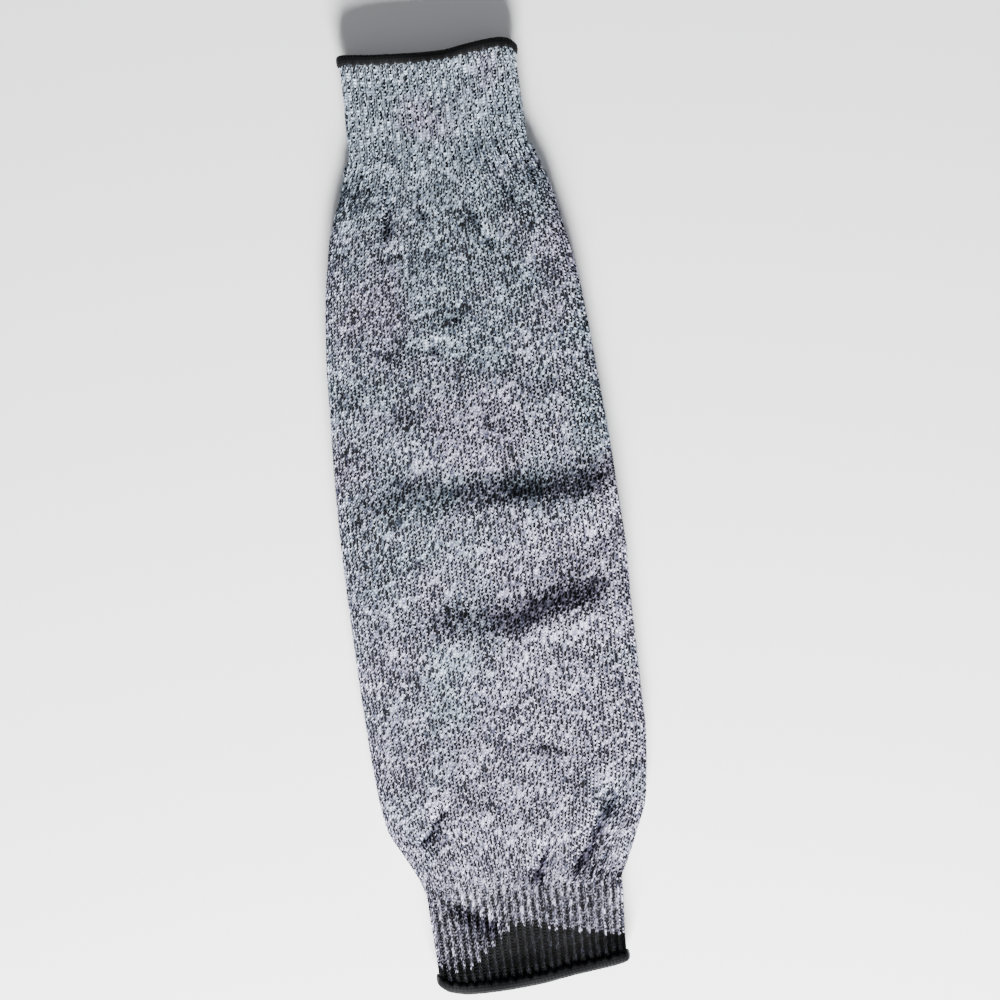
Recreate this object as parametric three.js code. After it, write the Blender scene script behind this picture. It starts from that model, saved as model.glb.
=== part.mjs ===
// A cut resistant sleeve: a knitted tube with a ribbed cuff at each end and a black overlocked
// edge on each cuff. It lies flat on its back face, with +Y towards the wrist, +X to the right of
// the front face and +Z up. All sizes are in millimetres.
//
// A place on the knit is given by its turn round the tube and its station along it. The turn is
// 0 at the left side fold, 0.5 at the right one, and runs over the front face first. Stations
// start at the arm end of the body and grow towards the wrist.

import * as THREE from 'three';

// Lengths and widths of the tube as it lies
const BODY_LENGTH = 286;
const BODY_WIDTH = 110;
const BODY_HEIGHT = 15;
const WRIST_CUFF_LENGTH = 39;
const WRIST_CUFF_WIDTH = 68.4;
const ARM_CUFF_LENGTH = 35;
const ARM_CUFF_WIDTH = 73.4;
const CUFF_HEIGHT = 12;
const SIDE_FOLD_HEIGHT = 5;
const UNDER_CORNER = 8;

// The knit
const KNIT_WALL = 1.5;
const RIB_WALL = 1.8;
const RIB_DEPTH = 0.6;
const RIB_COUNT = 52;

// The overlocked edges, which wrap the end of the knit
const OVERLOCK_WIDTH = 4;
const OVERLOCK_WALL = 0.7;
const BOUND_KNIT_WALL = 1.2;
const SEAT_GAP = 0.3;

// How far the two edges bow, and how far into the cuff that is felt
const EDGE_BOW = 2.5;
const BOW_REACH = 32;

// The charcoal yarn's hump above the arm edge, and the depth of folds and creases
const CHARCOAL_HEIGHT = 18;
const FOLD_DEPTH = 2.8;
const CREASE_DEPTH = 1.8;
const CREASE_WIDTH = 3;

// How round the upper face is: 1 gives an ellipse and less gives a flatter, boxier crown
const CROWN_POWER = 0.62;

// The widest station, as a share of the body's length
const WIDEST_AT = 0.444;

// Shares from a cuff (out 0) to the widest station (out 1): how much of the way from the cuff's
// width to the body's the tube has spread, and how far its middle drifts, in body widths
const WRIST_FLARE = [
  { out: 0, spread: 0.03, drift: 0.0095 },
  { out: 0.057, spread: 0.195, drift: 0.0095 },
  { out: 0.12, spread: 0.385, drift: 0.006 },
  { out: 0.182, spread: 0.514, drift: -0.001 },
  { out: 0.245, spread: 0.61, drift: -0.0015 },
  { out: 0.308, spread: 0.7, drift: -0.002 },
  { out: 0.371, spread: 0.758, drift: -0.003 },
  { out: 0.497, spread: 0.839, drift: -0.005 },
  { out: 0.623, spread: 0.892, drift: -0.004 },
  { out: 0.748, spread: 0.948, drift: -0.003 },
  { out: 0.874, spread: 0.976, drift: -0.003 },
  { out: 1, spread: 1, drift: 0 },
];
const ARM_FLARE = [
  { out: 0, spread: 0.07, drift: -0.002 },
  { out: 0.055, spread: 0.224, drift: 0.006 },
  { out: 0.134, spread: 0.478, drift: 0.004 },
  { out: 0.213, spread: 0.732, drift: 0.001 },
  { out: 0.291, spread: 0.826, drift: 0 },
  { out: 0.37, spread: 0.883, drift: 0.002 },
  { out: 0.449, spread: 0.925, drift: 0.003 },
  { out: 0.528, spread: 0.935, drift: 0.001 },
  { out: 0.685, spread: 0.957, drift: -0.001 },
  { out: 0.843, spread: 0.972, drift: -0.002 },
  { out: 1, spread: 1, drift: 0 },
];
const WRIST_CUFF_DRIFT = 0.0095;
const ARM_CUFF_DRIFT = -0.005;

// The line of each edge: how far it stands out, in edge bows, at a share across the cuff
const WRIST_EDGE = [
  { across: -1, out: 0.8 },
  { across: -0.55, out: 0 },
  { across: 0.16, out: -0.5 },
  { across: 0.45, out: 0 },
  { across: 0.79, out: 0.55 },
  { across: 0.94, out: 0.3 },
  { across: 1, out: -0.4 },
];
const ARM_EDGE = [
  { across: -1, out: -0.6 },
  { across: -0.9, out: 0.35 },
  { across: -0.65, out: 1 },
  { across: 0.02, out: 0.65 },
  { across: 0.45, out: -0.1 },
  { across: 0.88, out: -0.75 },
  { across: 1, out: -1 },
];

// The upper border of the charcoal yarn on the front face, in charcoal heights above the edge
const CHARCOAL_BORDER = [
  { across: -1, up: 0.23 },
  { across: -0.76, up: 0.24 },
  { across: -0.57, up: 0.38 },
  { across: -0.46, up: 0.5 },
  { across: -0.27, up: 0.79 },
  { across: -0.15, up: 0.99 },
  { across: 0.22, up: 0.85 },
  { across: 0.42, up: 0.71 },
  { across: 0.63, up: 0.59 },
  { across: 1, up: 0.35 },
];

// Folds across the front face. Each is a slope along a line, hollow on its wrist side and raised
// on its arm side. Places are shares of half the body's width and of its length, reach is a share
// of its length, and left and right say how deep the fold is at its ends, in fold depths.
const CROSS_FOLDS = [
  {
    line: [
      { across: -0.8, along: 0.543 },
      { across: 0.25, along: 0.531 },
      { across: 0.64, along: 0.531 },
      { across: 0.98, along: 0.54 },
    ],
    reach: 0.029,
    left: 0.6,
    right: 1.15,
  },
  {
    line: [
      { across: -0.46, along: 0.378 },
      { across: 0.13, along: 0.359 },
      { across: 0.36, along: 0.37 },
      { across: 0.64, along: 0.384 },
      { across: 0.9, along: 0.4 },
    ],
    reach: 0.027,
    left: 0.8,
    right: 1.3,
  },
  {
    line: [
      { across: 0.35, along: 0.418 },
      { across: 0.7, along: 0.437 },
      { across: 0.97, along: 0.462 },
    ],
    reach: 0.022,
    left: 0.4,
    right: 0.8,
  },
];

// Creases that run along the front face from one place to another, with their depth and width in
// crease depths and widths.
const CREASES = [
  { fromAcross: -0.35, fromAlong: 0.99, toAcross: -0.42, toAlong: 0.88, depth: 1.5, width: 0.9 },
  { fromAcross: -0.13, fromAlong: 0.975, toAcross: -0.15, toAlong: 0.899, depth: 1.1, width: 1.1 },
  { fromAcross: 0.18, fromAlong: 0.932, toAcross: 0.32, toAlong: 0.856, depth: 1.3, width: 1.4 },
  { fromAcross: 0.38, fromAlong: 0.979, toAcross: 0.52, toAlong: 0.915, depth: 0.8, width: 0.8 },
  { fromAcross: -0.53, fromAlong: 0.97, toAcross: -0.64, toAlong: 0.928, depth: 0.9, width: 1 },
  { fromAcross: -0.26, fromAlong: 0.872, toAcross: -0.54, toAlong: 0.862, depth: 0.6, width: 1.5 },
  { fromAcross: 0.07, fromAlong: 0.799, toAcross: -0.01, toAlong: 0.764, depth: 0.5, width: 1.3 },
  { fromAcross: -0.12, fromAlong: 0.753, toAcross: -0.2, toAlong: 0.724, depth: 0.5, width: 1.3 },
  { fromAcross: -0.31, fromAlong: 0.276, toAcross: -0.37, toAlong: 0.179, depth: 0.5, width: 1.8 },
  { fromAcross: 0.19, fromAlong: 0.199, toAcross: 0.46, toAlong: 0.173, depth: 0.5, width: 1.5 },
  { fromAcross: 0.85, fromAlong: 0.289, toAcross: 0.91, toAlong: 0.247, depth: 0.5, width: 1.4 },
  { fromAcross: 0.77, fromAlong: 0.144, toAcross: 0.33, toAlong: 0.003, depth: 1.4, width: 1.5 },
  { fromAcross: 0.21, fromAlong: 0.071, toAcross: 0.06, toAlong: 0.004, depth: 0.9, width: 1 },
  { fromAcross: -0.45, fromAlong: 0.132, toAcross: -0.71, toAlong: 0.068, depth: 1, width: 1.3 },
  { fromAcross: -0.75, fromAlong: 0.044, toAcross: -0.22, toAlong: -0.016, depth: 0.8, width: 2.1 },
];

// Stations of the body's rows as shares of its length, closer together at folds and gathers
const BODY_ROWS = [
  0, 0.03, 0.06, 0.095, 0.14, 0.21, 0.3, 0.345, 0.37, 0.395, 0.43, 0.48, 0.515, 0.54, 0.565,
  0.61, 0.69, 0.78, 0.85, 0.895, 0.93, 0.965, 1,
];
const FRONT_COLUMNS = 36;
const BACK_COLUMNS = 18;

// Where one rib has its corners, as shares of its pitch: two raised stitches, then a sunk one
const RIB_CORNERS = [
  { at: 0, sunk: 0 },
  { at: 0.56, sunk: 0 },
  { at: 0.78, sunk: 1 },
];

// Points of the finely sampled half section that turns are measured on
const FINE_STEPS = 90;

// Places that follow from the sizes
const WRIST_END = BODY_LENGTH + WRIST_CUFF_LENGTH;
const ARM_END = -ARM_CUFF_LENGTH;
const WIDEST = WIDEST_AT * BODY_LENGTH;
const OVERLOCK_STAND = SEAT_GAP + OVERLOCK_WALL;
const MOUTH_MARGIN = SEAT_GAP;

function smooth(share) {
  const held = Math.min(1, Math.max(0, share));
  return held * held * (3 - 2 * held);
}

// The value of a table's column at a place: straight between rows, eased at each by its neighbours
function along(table, key, column, place) {
  const last = table.length - 1;
  if (place <= table[0][key]) return table[0][column];
  if (place >= table[last][key]) return table[last][column];
  const row = table.findIndex((entry) => entry[key] > place) - 1;
  const slope = (from, to) =>
    (table[to][column] - table[from][column]) / (table[to][key] - table[from][key]);
  const step = table[row + 1][key] - table[row][key];
  const startSlope = slope(Math.max(0, row - 1), row + 1) * step;
  const endSlope = slope(row, Math.min(last, row + 2)) * step;
  const t = (place - table[row][key]) / step;
  const rise = table[row + 1][column] - table[row][column];
  const bend = startSlope * t * (1 - t) ** 2 - endSlope * t ** 2 * (1 - t);
  return table[row][column] + rise * smooth(t) + bend;
}

// Half width, middle and lying height of the tube at a station
function sectionSizes(station) {
  if (station <= 0) {
    return spreadFrom(ARM_CUFF_WIDTH, ARM_FLARE[0].spread * smooth(1 + station / BOW_REACH),
      ARM_CUFF_DRIFT);
  }
  if (station >= BODY_LENGTH) {
    const past = (station - BODY_LENGTH) / BOW_REACH;
    return spreadFrom(WRIST_CUFF_WIDTH, WRIST_FLARE[0].spread * smooth(1 - past),
      WRIST_CUFF_DRIFT);
  }
  if (station < WIDEST) {
    const out = station / WIDEST;
    return spreadFrom(ARM_CUFF_WIDTH, along(ARM_FLARE, 'out', 'spread', out),
      along(ARM_FLARE, 'out', 'drift', out));
  }
  const out = (BODY_LENGTH - station) / (BODY_LENGTH - WIDEST);
  return spreadFrom(WRIST_CUFF_WIDTH, along(WRIST_FLARE, 'out', 'spread', out),
    along(WRIST_FLARE, 'out', 'drift', out));
}

function spreadFrom(cuffWidth, spread, drift) {
  return {
    half: (cuffWidth + (BODY_WIDTH - cuffWidth) * spread) / 2,
    middle: drift * BODY_WIDTH,
    height: CUFF_HEIGHT + (BODY_HEIGHT - CUFF_HEIGHT) * spread,
  };
}

// The upper half of a section: a flattened half oval from the left side fold to the right one
function upperHalf({ half, middle, height }) {
  const points = [];
  for (let i = 0; i <= FINE_STEPS; i += 1) {
    const angle = (Math.PI * i) / FINE_STEPS;
    const across = Math.sign(Math.cos(angle)) * Math.abs(Math.cos(angle)) ** CROWN_POWER;
    const up = Math.abs(Math.sin(angle)) ** CROWN_POWER;
    points.push(new THREE.Vector2(middle - half * across,
      SIDE_FOLD_HEIGHT + (height - SIDE_FOLD_HEIGHT) * up));
  }
  return points;
}

// The lower half: flat on the table, with a quarter oval up to each side fold
function lowerHalf({ half, middle }) {
  const points = [];
  const corner = Math.min(UNDER_CORNER, half / 2);
  for (const side of [1, -1]) {
    for (let i = 0; i <= FINE_STEPS / 2; i += 1) {
      const share = i / (FINE_STEPS / 2);
      const angle = (Math.PI / 2) * (side > 0 ? share : 1 - share);
      points.push(new THREE.Vector2(middle + side * (half - corner + corner * Math.cos(angle)),
        SIDE_FOLD_HEIGHT * (1 - Math.sin(angle))));
    }
  }
  return points;
}

// The point and outward normal at a share of a fine line's length
function onLine(points, share) {
  const lengths = [0];
  for (let i = 1; i < points.length; i += 1) {
    lengths.push(lengths[i - 1] + points[i].distanceTo(points[i - 1]));
  }
  const wanted = share * lengths.at(-1);
  const next = Math.max(1, lengths.findIndex((length) => length >= wanted - 1e-9));
  const part = (wanted - lengths[next - 1]) / (lengths[next] - lengths[next - 1]);
  const place = points[next - 1].clone().lerp(points[next], part);
  const ahead = points[Math.min(points.length - 1, next + 1)];
  const behind = points[Math.max(0, next - 2)];
  const run = ahead.clone().sub(behind).normalize();
  return { place, normal: new THREE.Vector2(-run.y, run.x) };
}

// How far an edge's bow moves a place along the sleeve
function edgeShift(across, station) {
  const fromWrist = smooth(1 - (WRIST_END - station) / BOW_REACH);
  const fromArm = smooth(1 - (station - ARM_END) / BOW_REACH);
  return EDGE_BOW * (fromWrist * along(WRIST_EDGE, 'across', 'out', across)
    - fromArm * along(ARM_EDGE, 'across', 'out', across));
}

// The knit rises at each end to make room for the overlock under it
function lift(station) {
  const toEnd = Math.min(WRIST_END - station, station - ARM_END);
  return OVERLOCK_STAND * smooth(2 - toEnd / OVERLOCK_WIDTH / 1.5);
}

// Height of the folds across the front face: the slope of a bell curve, which is hollow on one
// side of its line and raised on the other
function foldHeight(across, station) {
  let height = 0;
  for (const { line, reach, left, right } of CROSS_FOLDS) {
    const start = line[0].across;
    const end = line.at(-1).across;
    const part = (across - start) / (end - start);
    const fade = smooth(part * 4 + 0.5) * smooth((1 - part) * 4 + 0.5);
    const depth = FOLD_DEPTH * (left + (right - left) * smooth(part)) * fade;
    const off = station / BODY_LENGTH - along(line, 'across', 'along', across);
    const steps = off / reach;
    height -= depth * steps * Math.exp((1 - steps * steps) / 2);
  }
  return height;
}

// Height of the creases: a bell curve over the distance from each crease's line, which grows
// shallow towards its two ends
function creaseHeight(x, station) {
  let height = 0;
  for (const crease of CREASES) {
    const start = new THREE.Vector2(crease.fromAcross * BODY_WIDTH / 2,
      crease.fromAlong * BODY_LENGTH);
    const run = new THREE.Vector2(crease.toAcross * BODY_WIDTH / 2, crease.toAlong * BODY_LENGTH)
      .sub(start);
    const there = new THREE.Vector2(x, station).sub(start);
    const part = Math.min(1, Math.max(0, there.dot(run) / run.lengthSq()));
    const off = there.sub(run.multiplyScalar(part)).length() / (CREASE_WIDTH * crease.width);
    const taper = smooth(part * 3 + 0.3) * smooth((1 - part) * 3 + 0.3);
    height -= CREASE_DEPTH * crease.depth * taper * Math.exp(-off * off);
  }
  return height;
}

// A place on the knit: its turn and station, and how deep it lies under the outer surface
function onKnit(turn, station, inset) {
  const sizes = sectionSizes(station);
  const whole = turn - Math.floor(turn);
  const front = whole < 0.5;
  const line = front ? upperHalf(sizes) : lowerHalf(sizes);
  const { place, normal } = onLine(line, front ? whole * 2 : whole * 2 - 1);
  const across = (place.x - sizes.middle) / sizes.half;
  const x = place.x - normal.x * inset;
  const relief = foldHeight(across, station) + creaseHeight(place.x, station);
  return new THREE.Vector3(
    x,
    station + edgeShift(across, station),
    place.y - normal.y * inset + lift(station) + smooth(normal.y * 1.5) * relief,
  );
}

// A ring of places at the same station, one for each turn in a list
function ring(turns, station, inset) {
  return turns.map((turn) => onKnit(turn, station, inset));
}

// Turns of the body's columns: even on the front, closer together at the corners of the back
function bodyTurns() {
  const turns = [];
  for (let i = 0; i < FRONT_COLUMNS; i += 1) turns.push((0.5 * i) / FRONT_COLUMNS);
  for (let i = 0; i < BACK_COLUMNS; i += 1) {
    turns.push(0.5 + 0.25 * (1 - Math.cos((Math.PI * i) / BACK_COLUMNS)));
  }
  return turns;
}

// Turns where each rib starts, which the inner wall and the overlock follow
function ribTurns() {
  return Array.from({ length: RIB_COUNT }, (_, rib) => rib / RIB_COUNT);
}

// A ribbed ring: every rib has its raised and sunk corners. Its stations come from a function of
// the turn, because the charcoal yarn's border isn't level.
function ribbedRing(stationAt, depth) {
  return ribTurns().flatMap((start) => RIB_CORNERS.map(({ at, sunk }) => {
    const turn = start + at / RIB_COUNT;
    return onKnit(turn, stationAt(turn), RIB_DEPTH * depth * sunk);
  }));
}

// A ring with as many corners as a ribbed one, but straight between the ribs' starts, so that it
// fits in the overlock
function flatRing(station) {
  return ribTurns().flatMap((start) => {
    const from = onKnit(start, station, 0);
    const to = onKnit(start + 1 / RIB_COUNT, station, 0);
    return RIB_CORNERS.map(({ at }) => from.clone().lerp(to, at));
  });
}

function innerRing(stationAt, wall) {
  return ribTurns().map((turn) => onKnit(turn, stationAt(turn), wall));
}

// Triangles between two neighbouring rings. One may have a whole number of times the other's
// corners; then each corner of the coarse ring takes a fan.
function joinRings(first, second, faces) {
  const count = Math.min(first.length, second.length);
  const firstStep = first.length / count;
  const secondStep = second.length / count;
  for (let k = 0; k < count; k += 1) {
    const a = (i) => first[(k * firstStep + i) % first.length];
    const b = (i) => second[(k * secondStep + i) % second.length];
    if (firstStep === 1 && secondStep === 1) {
      faces.push(a(0), a(1), b(1), a(0), b(1), b(0));
    } else if (firstStep > 1) {
      for (let i = 0; i < firstStep - 1; i += 1) faces.push(a(i), a(i + 1), b(0));
      faces.push(a(firstStep - 1), a(firstStep), b(1), a(firstStep - 1), b(1), b(0));
    } else {
      for (let i = 0; i < secondStep - 1; i += 1) faces.push(a(0), b(i + 1), b(i));
      faces.push(a(0), b(secondStep), b(secondStep - 1), a(0), a(1), b(secondStep));
    }
  }
}

// A closed solid from rings in the order in which they go round its wall
function solidOfRings(rings) {
  const points = rings.flat();
  let used = 0;
  const numbered = rings.map((places) => {
    const numbers = places.map((_, i) => used + i);
    used += places.length;
    return numbers;
  });
  const faces = [];
  numbered.forEach((numbers, i) => joinRings(numbers, numbered[(i + 1) % rings.length], faces));
  const geometry = new THREE.BufferGeometry().setFromPoints(points);
  geometry.setIndex(faces);
  geometry.computeVertexNormals();
  return geometry;
}

function bodyGeometry() {
  const turns = bodyTurns();
  const first = SEAT_GAP / 2;
  const reach = BODY_LENGTH - SEAT_GAP;
  const stations = BODY_ROWS.map((share) => first + share * reach);
  const outer = stations.map((station) => ring(turns, station, 0));
  const inner = stations.map((station) => ring(turns, station, KNIT_WALL));
  return solidOfRings([...outer, ...inner.reverse()]);
}

// A ribbed cuff's rows, from its arm side to its wrist side, as a closed wall
function ribbedGeometry(rows) {
  const outer = rows.map(({ at, flat, depth }) => (flat ? flatRing(at(0)) : ribbedRing(at, depth)));
  const inner = rows.map(({ at, flat }) => innerRing(at, flat ? BOUND_KNIT_WALL : RIB_WALL));
  return solidOfRings([...outer, ...inner.reverse()]);
}

function wristCuffGeometry() {
  const start = BODY_LENGTH + SEAT_GAP / 2;
  const mouth = WRIST_END - OVERLOCK_WIDTH - MOUTH_MARGIN;
  const full = start + (mouth - start) * 0.8;
  return ribbedGeometry([
    { at: () => start, depth: 0.6 },
    { at: () => full, depth: 1 },
    { at: () => mouth, flat: true },
    { at: () => WRIST_END - OVERLOCK_STAND, flat: true },
  ]);
}

// The station of the charcoal yarn's upper border. Round the back it runs straight from one side
// fold to the other.
function charcoalBorder(turn) {
  const whole = turn - Math.floor(turn);
  const up = whole < 0.5
    ? along(CHARCOAL_BORDER, 'across', 'up', whole * 4 - 1)
    : along([{ across: -1, up: CHARCOAL_BORDER.at(-1).up },
      { across: 1, up: CHARCOAL_BORDER[0].up }], 'across', 'up', whole * 4 - 3);
  return ARM_END + OVERLOCK_WIDTH + CHARCOAL_HEIGHT * up;
}

function armCuffGeometry() {
  const end = -SEAT_GAP / 2;
  const from = (turn) => charcoalBorder(turn) + SEAT_GAP / 2;
  const part = (share) => (turn) => from(turn) + (end - from(turn)) * share;
  return ribbedGeometry([
    { at: part(0), depth: 1 },
    { at: part(0.35), depth: 1 },
    { at: part(0.7), depth: 1 },
    { at: part(1), depth: 0.6 },
  ]);
}

function charcoalGeometry() {
  const mouth = ARM_END + OVERLOCK_WIDTH + MOUTH_MARGIN;
  const to = (turn) => charcoalBorder(turn) - SEAT_GAP / 2;
  return ribbedGeometry([
    { at: () => ARM_END + OVERLOCK_STAND, flat: true },
    { at: () => mouth, flat: true },
    { at: (turn) => mouth + (to(turn) - mouth) * 0.4, depth: 1 },
    { at: to, depth: 1 },
  ]);
}

// An overlocked edge: a channel of thread round the knit's end. Its section is listed from the
// lip on the outer face, over the edge, to the lip inside, and back through the seat.
function overlockGeometry(end, outward) {
  const near = -SEAT_GAP;
  const far = BOUND_KNIT_WALL + SEAT_GAP;
  const middle = BOUND_KNIT_WALL / 2;
  const round = OVERLOCK_STAND * 0.9;
  const section = [
    { back: OVERLOCK_WIDTH, inset: near },
    { back: OVERLOCK_WIDTH, inset: near - OVERLOCK_WALL },
    { back: round, inset: near - OVERLOCK_WALL },
    { back: 0, inset: middle },
    { back: round, inset: far + OVERLOCK_WALL },
    { back: OVERLOCK_WIDTH, inset: far + OVERLOCK_WALL },
    { back: OVERLOCK_WIDTH, inset: far },
    { back: OVERLOCK_WALL, inset: far },
    { back: OVERLOCK_WALL, inset: near },
  ];
  const rings = section.map(({ back, inset }) => ring(ribTurns(), end - outward * back, inset));
  return solidOfRings(outward > 0 ? rings : rings.reverse());
}

function piece(name, geometry, color, roughness) {
  const material = new THREE.MeshStandardMaterial({ color, roughness, metalness: 0 });
  const mesh = new THREE.Mesh(geometry, material);
  mesh.name = name;
  return mesh;
}

const MARL_GREY = 0x8c96a3;
const CHARCOAL = 0x24262d;
const BLACK_THREAD = 0x10141a;

const sleeve = new THREE.Group();
sleeve.add(
  piece('wrist_edge_overlock', overlockGeometry(WRIST_END, 1), BLACK_THREAD, 0.85),
  piece('wrist_cuff', wristCuffGeometry(), MARL_GREY, 0.95),
  piece('sleeve_body', bodyGeometry(), MARL_GREY, 0.95),
  piece('arm_cuff', armCuffGeometry(), MARL_GREY, 0.95),
  piece('charcoal_band', charcoalGeometry(), CHARCOAL, 0.95),
  piece('arm_edge_overlock', overlockGeometry(ARM_END, -1), BLACK_THREAD, 0.85),
);

// The sleeve's own reference point is the middle of its footprint, on the table
const extent = new THREE.Box3().setFromObject(sleeve, true);
const centre = extent.getCenter(new THREE.Vector3());
sleeve.position.set(-centre.x, -centre.y, -extent.min.z);

export default sleeve;
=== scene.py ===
"""A cut resistant sleeve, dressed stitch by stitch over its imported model.

The sleeve is one knitted tube. A place on it has a wale, counted round the tube from the left
side fold over the front face, and a course, counted along it from the arm end of the body
towards the wrist. One grid of wales and courses covers the whole tube, and each piece is a
part of that grid, so neighbouring pieces meet stitch to stitch.
"""

import math

import bpy
import numpy as np
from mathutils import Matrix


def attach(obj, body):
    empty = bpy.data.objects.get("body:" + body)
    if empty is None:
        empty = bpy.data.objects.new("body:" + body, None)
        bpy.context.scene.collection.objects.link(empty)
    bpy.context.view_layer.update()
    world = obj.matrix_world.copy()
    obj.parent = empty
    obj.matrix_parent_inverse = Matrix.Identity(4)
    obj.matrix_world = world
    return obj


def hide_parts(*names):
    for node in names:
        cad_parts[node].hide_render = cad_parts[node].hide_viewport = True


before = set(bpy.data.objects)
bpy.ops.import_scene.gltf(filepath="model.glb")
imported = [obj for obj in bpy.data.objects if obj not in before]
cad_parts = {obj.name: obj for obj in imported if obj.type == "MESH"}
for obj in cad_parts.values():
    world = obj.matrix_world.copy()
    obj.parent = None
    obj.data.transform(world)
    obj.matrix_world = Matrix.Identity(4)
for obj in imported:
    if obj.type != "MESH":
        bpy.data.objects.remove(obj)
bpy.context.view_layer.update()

MM = 0.001
CENTIMETRE = 10
rng = np.random.default_rng(36)

# The tube's sizes in millimetres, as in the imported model. Only its folds and creases differ a
# little: here they are set by the photograph's shading.

BODY_LENGTH = 286
BODY_WIDTH = 110
BODY_HEIGHT = 15
WRIST_CUFF_LENGTH = 39
WRIST_CUFF_WIDTH = 68.4
ARM_CUFF_LENGTH = 35
ARM_CUFF_WIDTH = 73.4
CUFF_HEIGHT = 12
SIDE_FOLD_HEIGHT = 5
UNDER_CORNER = 8
CROWN_POWER = 0.62
WIDEST_AT = 0.444
KNIT_WALL = 1.5
RIB_WALL = 1.8
BOUND_KNIT_WALL = 1.2
SEAT_GAP = 0.3
OVERLOCK_WIDTH = 4
OVERLOCK_WALL = 0.7
OVERLOCK_STAND = SEAT_GAP + OVERLOCK_WALL
EDGE_BOW = 2.5
BOW_REACH = 32
CHARCOAL_HEIGHT = 18
FOLD_DEPTH = 2.5
CREASE_DEPTH = 1.8
CREASE_WIDTH = 3
PINCH_DEPTH = 0.8
PINCH_WIDTH = 0.36
WRIST_END = BODY_LENGTH + WRIST_CUFF_LENGTH
ARM_END = -ARM_CUFF_LENGTH

# The knit: 156 wales round the tube, in ribs of two raised wales and a sunk one on the cuffs

WALES = 156
RIB_WALES = 3
BODY_COURSES = 256
COURSE = BODY_LENGTH / BODY_COURSES
FIRST_COURSE = -30
LAST_COURSE = 290
ROWS_PER_COURSE = 2
COLUMNS_PER_WALE = 2
SIDE_WALES = 3  # how far the front piece reaches round each side fold

# Shares from a cuff to the widest station: the spread from the cuff's width to the body's, and
# the drift of the tube's middle in body widths

WRIST_SPREAD = (
    (0, 0.03), (0.057, 0.195), (0.12, 0.385), (0.182, 0.514), (0.245, 0.61), (0.308, 0.7),
    (0.371, 0.758), (0.497, 0.839), (0.623, 0.892), (0.748, 0.948), (0.874, 0.976), (1, 1),
)
WRIST_DRIFT = (
    (0, 0.0095), (0.057, 0.0095), (0.12, 0.006), (0.182, -0.001), (0.245, -0.0015),
    (0.308, -0.002), (0.371, -0.003), (0.497, -0.005), (0.623, -0.004), (0.748, -0.003),
    (0.874, -0.003), (1, 0),
)
ARM_SPREAD = (
    (0, 0.07), (0.055, 0.224), (0.134, 0.478), (0.213, 0.732), (0.291, 0.826), (0.37, 0.883),
    (0.449, 0.925), (0.528, 0.935), (0.685, 0.957), (0.843, 0.972), (1, 1),
)
ARM_DRIFT = (
    (0, -0.002), (0.055, 0.006), (0.134, 0.004), (0.213, 0.001), (0.291, 0), (0.37, 0.002),
    (0.449, 0.003), (0.528, 0.001), (0.685, -0.001), (0.843, -0.002), (1, 0),
)
WRIST_CUFF_DRIFT = 0.0095
ARM_CUFF_DRIFT = -0.005

# The line of each edge, in edge bows, and of the charcoal yarn's border, in charcoal heights,
# at shares across the cuff

WRIST_EDGE = (
    (-1, 0.8), (-0.55, 0), (0.16, -0.5), (0.45, 0), (0.79, 0.55), (0.94, 0.3), (1, -0.4),
)
ARM_EDGE = (
    (-1, -0.6), (-0.9, 0.35), (-0.65, 1), (0.02, 0.65), (0.45, -0.1), (0.88, -0.75), (1, -1),
)
CHARCOAL_BORDER = (
    (-1, 0.23), (-0.76, 0.24), (-0.57, 0.38), (-0.46, 0.5), (-0.27, 0.79), (-0.15, 0.99),
    (0.22, 0.85), (0.42, 0.71), (0.63, 0.59), (1, 0.35),
)

# Folds across the front face: the line as shares (across, along), the reach as a share of the
# body's length, and the depth at the left and right end in fold depths

CROSS_FOLDS = (
    (((-0.8, 0.543), (0.25, 0.531), (0.64, 0.531), (0.98, 0.54)), 0.029, 0.6, 1.15),
    (((-0.46, 0.378), (0.13, 0.359), (0.36, 0.37), (0.64, 0.384), (0.9, 0.4)), 0.027, 0.8, 1.3),
    (((0.35, 0.418), (0.7, 0.437), (0.97, 0.462)), 0.022, 0.4, 0.8),
)

# Creases: from (across, along) to (across, along), with depth and width in crease sizes

CREASES = (
    ((-0.35, 0.99), (-0.42, 0.88), 1.4, 0.8),
    ((-0.13, 0.975), (-0.15, 0.899), 0.8, 1),
    ((0.18, 0.932), (0.32, 0.856), 0.8, 1.5),
    ((0.34, 0.995), (0.54, 0.905), 0.6, 0.8),
    ((-0.53, 0.98), (-0.66, 0.92), 0.15, 1),
    ((-0.26, 0.872), (-0.54, 0.862), 0.4, 1.5),
    ((0.07, 0.799), (-0.01, 0.764), 0.35, 1.4),
    ((-0.12, 0.753), (-0.2, 0.724), 0.5, 1.3),
    ((-0.31, 0.276), (-0.37, 0.179), 0.5, 1.8),
    ((0.19, 0.199), (0.46, 0.173), 0.5, 1.5),
    ((0.85, 0.289), (0.91, 0.247), 0.5, 1.4),
    ((0.77, 0.144), (0.33, 0.003), 2.2, 1.9),
    ((0.21, 0.071), (0.06, 0.004), 1.3, 1.2),
    ((-0.45, 0.132), (-0.71, 0.068), 1, 1.3),
    ((-0.6, 0), (-0.18, -0.05), 1.5, 2.7),
)


# The tube's surface


def smooth(share):
    """An S curve from 0 to 1: three squares less two cubes."""
    held = np.clip(share, 0, 1)
    return held * held * (3 - 2 * held)


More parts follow.
